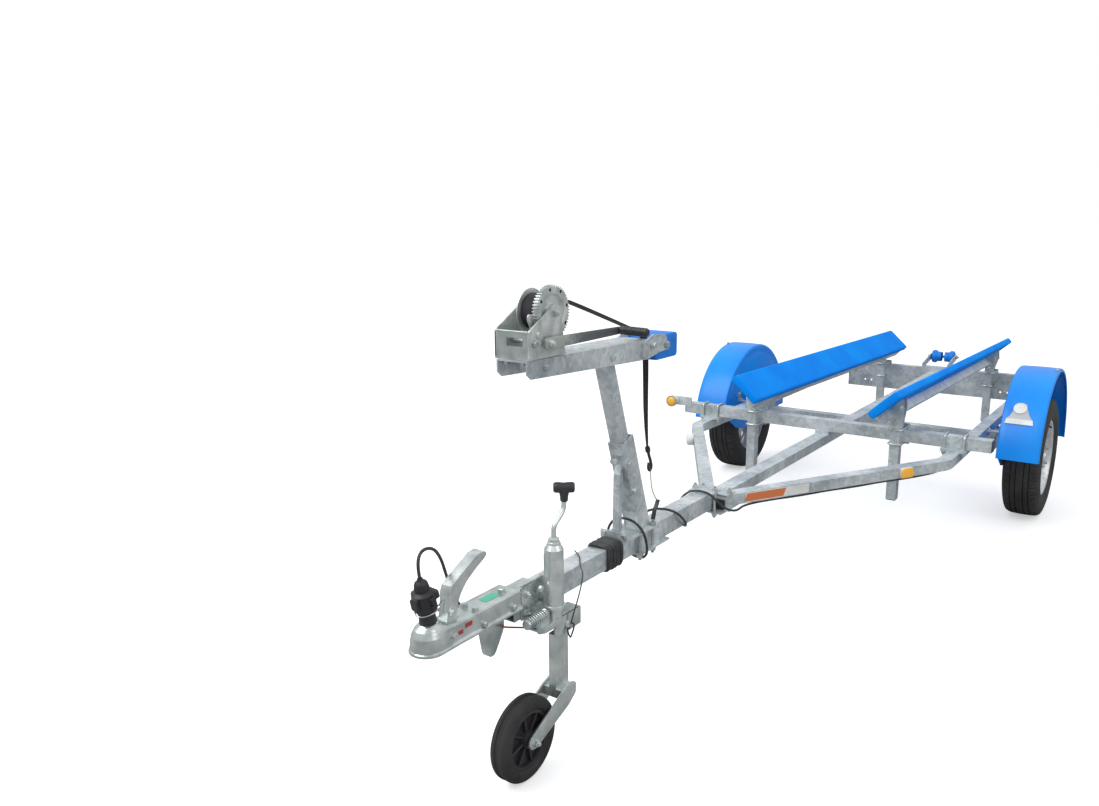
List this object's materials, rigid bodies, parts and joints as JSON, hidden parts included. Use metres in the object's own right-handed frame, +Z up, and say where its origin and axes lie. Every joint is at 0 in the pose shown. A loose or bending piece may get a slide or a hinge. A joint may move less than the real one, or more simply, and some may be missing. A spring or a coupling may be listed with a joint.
{
  "type": "boat trailer",
  "caption": "Single-axle boat trailer with padded bunks, winch post, keel roller, mudguards, ball coupling and folding jockey wheel.",
  "frame": {"origin": "on the floor, under the middle of the whole trailer", "axes": "+Z up, -Y towards the coupling, +X towards the jockey wheel's side"},
  "size_m": [1.648, 4.7495, 1.243],
  "materials": {
    "galvanised": "matt hot-dip galvanised steel",
    "zinc": "bright zinc-plated steel",
    "tyre": "matt black rubber",
    "rim": "silver paint",
    "blue_plastic": "satin moulded plastic",
    "bunk": "board wrapped in blue marine carpet",
    "blue_rubber": "smooth blue rubber",
    "amber": "clear amber plastic",
    "black_plastic": "grained black plastic",
    "black_rubber": "soft black rubber",
    "webbing": "woven black webbing"
  },
  "bodies": {
    "root": {"drawbar": "galvanised", "spine": "galvanised", "side_rails": "galvanised", "frame_plates": "galvanised", "front_beam": "galvanised", "rear_beam": "galvanised", "rear_channel": "galvanised", "axle_tube": "galvanised", "axle_saddles": "galvanised", "swing_arms": "galvanised", "mudguards": "blue_plastic", "mudguard_stays": "galvanised", "bunks": "bunk", "bunk_rails": "galvanised", "uprights": "galvanised", "bunk_ears": "galvanised", "roller_bracket": "galvanised", "coupling_body": "zinc", "coupling_lever": "zinc", "guard_foot": "zinc", "plug": "black_plastic", "lead_coil": "black_rubber", "lead_front": "black_rubber", "lead": "black_rubber", "lamps": "amber", "jockey_mount": "zinc", "jockey_tube": "zinc", "jockey_crank": "zinc", "jockey_grip": "black_plastic", "post_outer": "galvanised", "post_inner": "galvanised", "post_plates": "galvanised", "winch_table": "galvanised", "bow_plates": "galvanised", "bow_stop": "blue_rubber", "winch_frame": "zinc", "winch_drum": "zinc", "strap_roll": "webbing", "winch_crank": "zinc", "crank_grip": "black_plastic"},
    "wheel_left": {"tyre_left": "tyre", "rim_left": "rim"},
    "wheel_right": {"tyre_right": "tyre", "rim_right": "rim"},
    "jack_slide": {"jockey_slide": "zinc"},
    "jack_leg": {"jockey_leg": "zinc"},
    "jockey_wheel": {"jockey_tyre": "tyre", "jockey_hub": "black_plastic"},
    "roller": {"keel_roller": "blue_rubber"}
  },
  "joints": [
    {"name": "wheel_left_spin", "type": "hinge", "parent": "root", "child": "wheel_left", "pos_m": [0.737, 0.925, 0.28], "axis": [1, 0, 0], "continuous": true},
    {"name": "wheel_right_spin", "type": "hinge", "parent": "root", "child": "wheel_right", "pos_m": [-0.737, 0.925, 0.28], "axis": [1, 0, 0], "continuous": true},
    {"name": "jack_height", "type": "slide", "parent": "root", "child": "jack_slide", "axis": [0, 0, 1], "range_m": [-0.075, 0.02]},
    {"name": "jack_fold", "type": "hinge", "parent": "jack_slide", "child": "jack_leg", "pos_m": [0.075, -1.919, 0.365], "axis": [1, 0, 0], "range_deg": [0, 90]},
    {"name": "jockey_wheel_spin", "type": "hinge", "parent": "jack_leg", "child": "jockey_wheel", "pos_m": [0.075, -2.082, 0.11], "axis": [1, 0, 0], "continuous": true},
    {"name": "roller_spin", "type": "hinge", "parent": "root", "child": "roller", "pos_m": [0, 2.316, 0.505], "axis": [1, 0, 0], "continuous": true}
  ]
}
